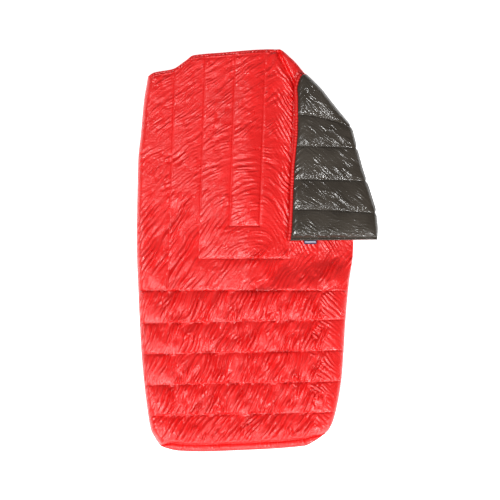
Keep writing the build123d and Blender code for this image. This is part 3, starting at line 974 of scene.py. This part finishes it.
def settle(obj, body, slot, *nodes):
    """Put a piece on its body, or, for a piece across the fold, bake its placing and leave it on no body;
    hide the CAD parts it stands in for. The slot argument is not used.
    """
    if body == "fold":
        across_fold(obj)
    else:
        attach(obj, body)
    if nodes:
        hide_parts(*nodes)
    return obj


points, faces, row, grid, a, b = front_surface()
foot_part = row[faces].max(axis=1) <= 6.0
upper_front = mesh_object("front_shell_cover", *part_of(points, faces, ~foot_part), RED)
upper_fills = ("front_centre", "front_inner", "front_outer", "front_left", "front_right", "centre_baffle",
               "inner_ring_baffle", "left_baffle", "right_baffle", "neck_hem", "neck_elastic")
settle(upper_front, "quilt", "red_shell", "front_shell", "left_side_fold", *nodes_of(*upper_fills))
foot_front = mesh_object("front_foot_cover", *part_of(points, faces, foot_part), RED)
foot_nodes = nodes_of("front_foot", "front_cross", "right_side", "foot_hem", "foot_elastic")
settle(foot_front, "quilt", "red_shell", *foot_nodes)
settle(stitches("front_stitching", front_seam_paths(grid, a, b), RED_THREAD, 0.0), "quilt", "seam_tape")
front_lining = settle(front_lining_cover(), "quilt", "charcoal_lining", "front_lining")

wing = back_cushion("left_wing_cover", CROSS_FIRST, 930.0, back_right, False, 41)
settle(wing, "quilt", "red_shell", *nodes_of("left_wing_fill", "left_wing_baffles"))
foot_back = back_cushion("back_foot_cover", -930.0, CROSS_FIRST + 20.0, foot_right, True, 42)
settle(foot_back, "quilt", "red_shell", "back_shell", *nodes_of("back_foot", "back_cross"))
back_lining = settle(back_lining_cover(), "quilt", "charcoal_lining", "back_lining")

hem_x = HEM / 2
wing_line = [(WING_EDGE - hem_x, 925.0, LOFT / 2), (SLIT_END[0] - hem_x, SLIT_END[1], LOFT / 2)]
settle(hem_rope("left_wing_hem_cover", wing_line, HEM, 20.0, RIM_RED), "quilt", "red_shell", "left_wing_hem")
slit_line = [(SLIT_END[0], SLIT_END[1] - hem_x, LOFT / 2),
             (SLIT_SIDE[0] - 40.0, SLIT_SIDE[1] - 16.0, LOFT / 2)]
slit_hem = hem_rope("right_wing_hem_cover", slit_line, HEM, 20.0, RIM_RED)
settle(slit_hem, "quilt", "red_shell", "right_wing_hem")
neck_x = np.linspace(-500.0, WING_EDGE, 60)
neck_line = np.stack([neck_x, through(NECK_EDGE, neck_x) - 12.0, LOFT / 2 + 0 * neck_x], 1)
wing_neck = hem_rope("left_wing_neck_cover", neck_line, HEM, 20.0, RIM_RED)
settle(wing_neck, "quilt", "red_shell", "left_wing_neck_hem")
seam_level = np.linspace(-880.0, SLIT_END[1] - HEM, 120)
seam_line = np.stack([0 * seam_level + SLIT_END[0], seam_level, 1.6 + 0 * seam_level], 1)
settle(rope("centre_back_seam_cover", seam_line, 7.0, 2.4, RIM_RED), "quilt", "seam_tape", "centre_back_seam")

surface = flap_surface()
flap_nodes = nodes_of("flap_lining", "flap_fill", "flap_baffles") + nodes_of("flap_side_hem", "fold")
flap_top = settle(flap_cover(surface), "fold", "charcoal_lining", *flap_nodes)
flap_shell = settle(flap_underside(), "fold", "red_shell", "flap_shell")
settle(flap_rim(), "flap", "red_shell", "flap_neck_hem", "flap_neck_elastic")
settle(label_piece("flap_label_cover", 0.0, 0.0, NAVY), "flap", "woven_label", "flap_label")
settle(label_piece("flap_label_strip", LABEL_BORDER, 0.5, PALE), "flap", "woven_label")
flap_x, flap_y, flap_z = surface[:3]
flap_points = np.stack([flap_x, flap_y, flap_z], -1)
flap_paths = [flap_points[4:-14, int(np.argmin(np.abs((flap_y[60] - low))))] for _, low in FLAP_SEAMS[1:]]
hem_row = int(np.argmin(np.abs(flap_y[3] - FLAP_FOOT - FLAP_HEM)))
flap_paths.append(flap_points[3:-8, hem_row])
settle(stitches("flap_stitching", flap_paths, DARK_THREAD, 0.3), "fold", "seam_tape")


# ---- floor and light: the floor in millimetres, the lights in metres and watts ----
FLOOR_REACH = 40000.0
FLOOR_LEVEL = -1.0
SKY = 0.34
KEY_PLACE, KEY_SIZE, KEY_POWER = (4.5, -9.4, 6.6), 1.3, 960
GLINT_PLACE, GLINT_SIZE, GLINT_POWER = (-4.2, -4.4, 10.6), 1.3, 1050


def make_stage():
    material = bpy.data.materials.new("floor")
    material.use_nodes = True
    tree = material.node_tree
    shader = tree.nodes["Principled BSDF"]
    shader.inputs["Roughness"].default_value = 0.8
    shader.inputs["Emission Color"].default_value = (1, 1, 1, 1)
    shader.inputs["Emission Strength"].default_value = 1.0
    place = tree.nodes.new("ShaderNodeTexCoord")
    grain = noise_node(tree, place, 3.0, 3.0)
    tone = ramp_node(tree, grain.outputs["Fac"], (0.88,) * 3, (0.92,) * 3, 0.3, 0.7)
    tree.links.new(tone.outputs["Color"], shader.inputs["Base Color"])
    reach, level = FLOOR_REACH, FLOOR_LEVEL
    corners = [(-reach, -reach, level), (reach, -reach, level), (reach, reach, level), (-reach, reach, level)]
    corners = np.array(corners)
    mesh_object("floor", corners, np.array([[0, 1, 2, 3]]), material)


def area_light(name, place, size, power):
    data = bpy.data.lights.new(name, "AREA")
    data.size = size
    data.energy = power
    light = bpy.data.objects.new(name, data)
    light.location = place
    light.rotation_euler = (-Vector(place)).to_track_quat("-Z", "Y").to_euler()
    bpy.context.scene.collection.objects.link(light)


def make_world():
    """A pale room: bright overhead, darker towards the horizon."""
    world = bpy.data.worlds.new("world")
    world.use_nodes = True
    tree = world.node_tree
    place = tree.nodes.new("ShaderNodeTexCoord")
    split = tree.nodes.new("ShaderNodeSeparateXYZ")
    tree.links.new(place.outputs["Generated"], split.inputs["Vector"])
    sky = ramp_node(tree, split.outputs["Z"], (0.25,) * 3, (0.8,) * 3, 0.05, 0.6)
    tree.links.new(sky.outputs["Color"], tree.nodes["Background"].inputs["Color"])
    tree.nodes["Background"].inputs["Strength"].default_value = SKY
    bpy.context.scene.world = world


bpy.context.scene.view_settings.view_transform = "Standard"
make_stage()
make_world()
area_light("key", KEY_PLACE, KEY_SIZE, KEY_POWER)
area_light("glint", GLINT_PLACE, GLINT_SIZE, GLINT_POWER)
